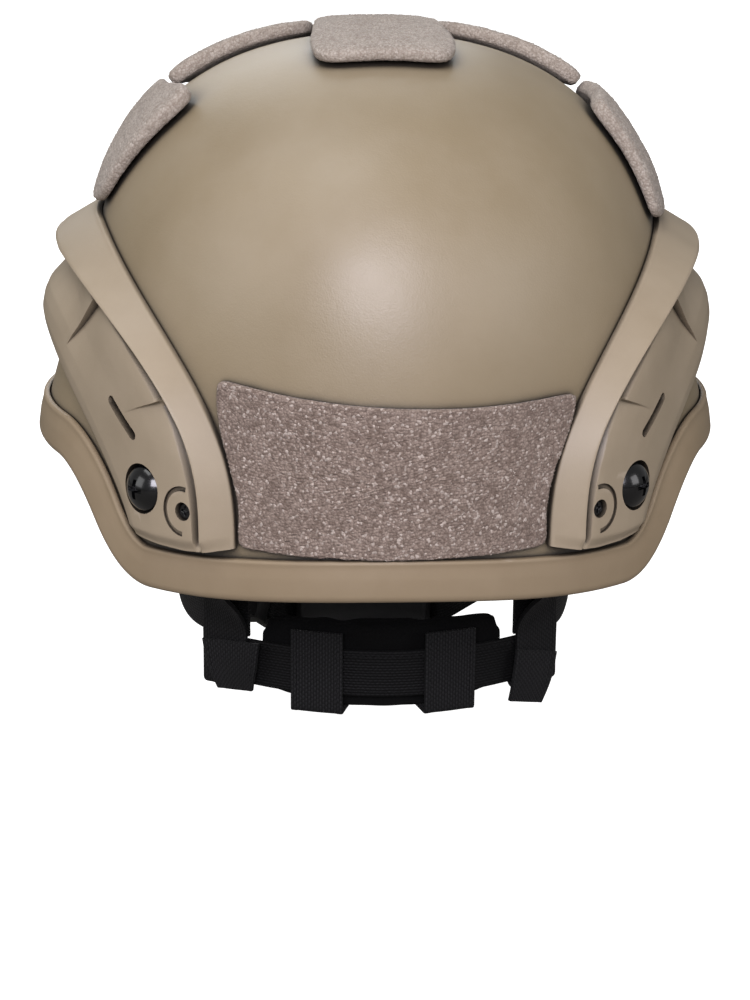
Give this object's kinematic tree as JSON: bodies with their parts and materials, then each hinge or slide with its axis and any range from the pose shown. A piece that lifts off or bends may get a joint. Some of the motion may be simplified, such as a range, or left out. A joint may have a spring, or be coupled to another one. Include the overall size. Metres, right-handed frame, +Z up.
{
  "type": "combat helmet",
  "caption": "Combat helmet with flared ear cups, side rails, loop panels, padded liner, front mounting shroud, nape strap, and chin harness with a side-release buckle.",
  "frame": {"origin": "The seat on the head: the middle of the crown pad's underside, at the top of the wearer's head.", "axes": "+Z is up out of the crown, -Y is the brow (forward), +X is the wearer's left."},
  "size_m": [0.2586, 0.2771, 0.2782],
  "materials": {
    "shell": "moulded, fine sand texture, tan paint",
    "edge_trim": "smooth tan edging",
    "rail": "moulded tan plastic, fine texture",
    "loop": "tan loop pile",
    "black_metal": "black coated, glossy on the domed heads",
    "steel": "bare zinc-plated steel",
    "black_plastic": "moulded black nylon",
    "pad": "black knitted cover over foam",
    "hook": "black hook discs",
    "webbing": "black woven webbing"
  },
  "bodies": {
    "helmet": {"shell": "shell", "edge_trim": "edge_trim", "rail_left": "rail", "rail_right": "rail", "rail_bolts": "black_metal", "bolt_washers": "black_metal", "bolt_nuts": "steel", "strap_tabs": "black_metal", "rail_screws": "black_metal", "shroud": "black_plastic", "shroud_screws": "steel", "loop_panel_rear": "loop", "loop_panel_top": "loop", "loop_panel_front_left": "loop", "loop_panel_front_right": "loop", "loop_panel_side_left": "loop", "loop_panel_side_right": "loop", "hook_discs": "hook", "crown_pad": "pad", "front_pad": "pad", "rear_pad": "pad", "side_pad_front_left": "pad", "side_pad_front_right": "pad", "side_pad_rear_left": "pad", "side_pad_rear_right": "pad", "front_strap_left": "webbing", "front_strap_right": "webbing", "nape_strap_left": "webbing", "nape_strap_right": "webbing", "side_strap_left": "webbing", "side_strap_right": "webbing", "junction_left": "black_plastic", "junction_right": "black_plastic", "nape_pad": "pad", "nape_band": "webbing", "nape_loop_left": "webbing", "nape_loop_right": "webbing", "stem_strap": "webbing", "chin_strap": "webbing", "chin_cup": "pad", "buckle_plug": "black_plastic"},
    "socket": {"buckle_socket": "black_plastic"},
    "prong_upper": {"buckle_prong_upper": "black_plastic"},
    "prong_lower": {"buckle_prong_lower": "black_plastic"},
    "chin_slide": {"chin_adjuster": "black_plastic"},
    "nape_slide_left": {"nape_adjuster_left": "black_plastic"},
    "nape_slide_right": {"nape_adjuster_right": "black_plastic"},
    "front_slide_left": {"front_adjuster_left": "black_plastic"},
    "front_slide_right": {"front_adjuster_right": "black_plastic"}
  },
  "joints": [
    {"name": "buckle_release", "type": "slide", "parent": "helmet", "child": "socket", "axis": [0.5428, 0.6021, 0.5855], "range_m": [0, 0.017]},
    {"name": "prong_upper_squeeze", "type": "hinge", "parent": "helmet", "child": "prong_upper", "pos_m": [0.04169, -0.07781, -0.20636], "axis": [-0.8168, 0.5407, 0.2012], "range_deg": [0, 6], "stiffness_Nm_per_rad": 0.01},
    {"name": "prong_lower_squeeze", "type": "hinge", "parent": "helmet", "child": "prong_lower", "pos_m": [0.04532, -0.06688, -0.22097], "axis": [0.8168, -0.5407, -0.2012], "range_deg": [0, 6], "stiffness_Nm_per_rad": 0.01},
    {"name": "chin_adjust", "type": "slide", "parent": "helmet", "child": "chin_slide", "axis": [-0.5428, 0.6021, 0.5855], "range_m": [-0.012, 0.012]},
    {"name": "nape_adjust_left", "type": "slide", "parent": "helmet", "child": "nape_slide_left", "axis": [0.3105, 0.6587, 0.6853], "range_m": [-0.009, 0.009]},
    {"name": "nape_adjust_right", "type": "slide", "parent": "helmet", "child": "nape_slide_right", "axis": [-0.3105, 0.6587, 0.6853], "range_m": [-0.009, 0.009]},
    {"name": "front_adjust_left", "type": "slide", "parent": "helmet", "child": "front_slide_left", "axis": [-0.1223, -0.7386, 0.6629], "range_m": [-0.014, 0.014]},
    {"name": "front_adjust_right", "type": "slide", "parent": "helmet", "child": "front_slide_right", "axis": [0.1223, -0.7386, 0.6629], "range_m": [-0.014, 0.014]}
  ],
  "couplings": [
    {"joint": "prong_lower_squeeze", "follows": "prong_upper_squeeze", "ratio": 1}
  ]
}
